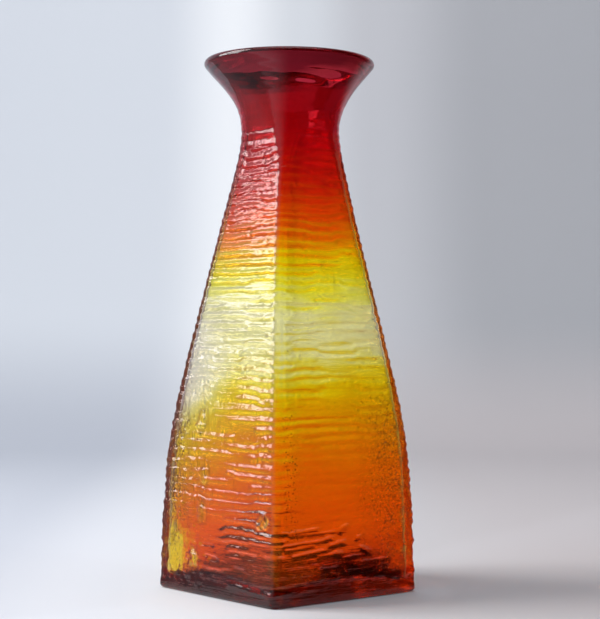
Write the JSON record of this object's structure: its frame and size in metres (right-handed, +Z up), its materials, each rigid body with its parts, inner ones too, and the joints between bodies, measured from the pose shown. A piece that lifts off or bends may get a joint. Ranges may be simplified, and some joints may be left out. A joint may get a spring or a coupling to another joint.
{
  "type": "art glass vase",
  "caption": "Tall free-standing glass vase: a square body with rounded corners tapers to a narrow neck, then flares into a round mouth with a rounded lip.",
  "frame": {"origin": "centre of the foot, on the surface that the vase stands on", "axes": "+Z up along the vase's axis; the four faces of the body are square to X and Y"},
  "size_m": [0.1254, 0.1254, 0.356],
  "materials": {
    "struck_glass": "clear glass that runs from ruby at the lip through yellow at mid height to red-brown at the foot"
  },
  "bodies": {
    "root": {"base": "struck_glass", "body": "struck_glass", "neck": "struck_glass", "flare": "struck_glass", "lip": "struck_glass"}
  },
  "joints": []
}
